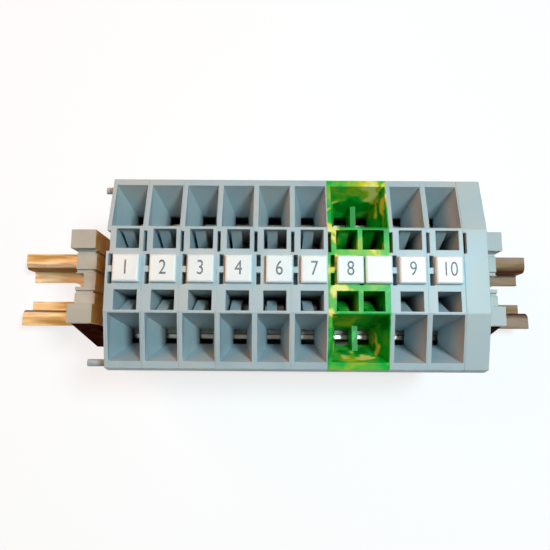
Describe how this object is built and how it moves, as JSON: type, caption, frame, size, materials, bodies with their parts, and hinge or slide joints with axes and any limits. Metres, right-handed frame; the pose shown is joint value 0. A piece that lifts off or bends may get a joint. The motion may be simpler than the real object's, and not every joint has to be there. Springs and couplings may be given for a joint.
{
  "type": "terminal strip",
  "caption": "Rail-mounted cage-clamp terminal strip: front-entry grey blocks, a green and yellow earth block, marker tags, end plate and end stops on a slotted mini top-hat rail.",
  "frame": {"origin": "middle of the rail, on its back", "axes": "+X along the rail from block 1 to the end plate, +Y across the rail towards the fixed claws, +Z from the rail towards the wiring side"},
  "size_m": [0.105, 0.0324, 0.0331],
  "materials": {
    "block_plastic": "moulded polyamide, blue-grey, satin",
    "earth_plastic": "moulded polyamide, green marbled with yellow",
    "stop_plastic": "moulded polyamide, grey, satin",
    "tag_plastic": "white, smooth",
    "rail_steel": "zinc plated and yellow passivated",
    "bar_copper": "copper strip, tin plated",
    "spring_steel": "bright spring strip"
  },
  "bodies": {
    "root": {"block_1_bar": "bar_copper", "block_1_housing": "block_plastic", "block_1_spring_lower": "spring_steel", "block_1_spring_upper": "spring_steel", "block_2_bar": "bar_copper", "block_2_housing": "block_plastic", "block_2_spring_lower": "spring_steel", "block_2_spring_upper": "spring_steel", "block_3_bar": "bar_copper", "block_3_housing": "block_plastic", "block_3_spring_lower": "spring_steel", "block_3_spring_upper": "spring_steel", "block_4_bar": "bar_copper", "block_4_housing": "block_plastic", "block_4_spring_lower": "spring_steel", "block_4_spring_upper": "spring_steel", "block_5_bar": "bar_copper", "block_5_housing": "block_plastic", "block_5_spring_lower": "spring_steel", "block_5_spring_upper": "spring_steel", "block_6_bar": "bar_copper", "block_6_housing": "block_plastic", "block_6_spring_lower": "spring_steel", "block_6_spring_upper": "spring_steel", "block_7_bar": "bar_copper", "block_7_housing": "block_plastic", "block_7_spring_lower": "spring_steel", "block_7_spring_upper": "spring_steel", "block_8_bar": "bar_copper", "block_8_housing": "block_plastic", "block_8_spring_lower": "spring_steel", "block_8_spring_upper": "spring_steel", "earth_bar": "bar_copper", "earth_housing": "earth_plastic", "earth_rail_contact": "bar_copper", "earth_spring_lower_1": "spring_steel", "earth_spring_lower_2": "spring_steel", "earth_spring_upper_1": "spring_steel", "earth_spring_upper_2": "spring_steel", "end_plate": "block_plastic", "end_stop_left": "stop_plastic", "end_stop_right": "stop_plastic", "rail": "rail_steel", "tag_1": "tag_plastic", "tag_10": "tag_plastic", "tag_2": "tag_plastic", "tag_3": "tag_plastic", "tag_4": "tag_plastic", "tag_5": "tag_plastic", "tag_6": "tag_plastic", "tag_7": "tag_plastic", "tag_8": "tag_plastic", "tag_9": "tag_plastic"}
  },
  "joints": []
}
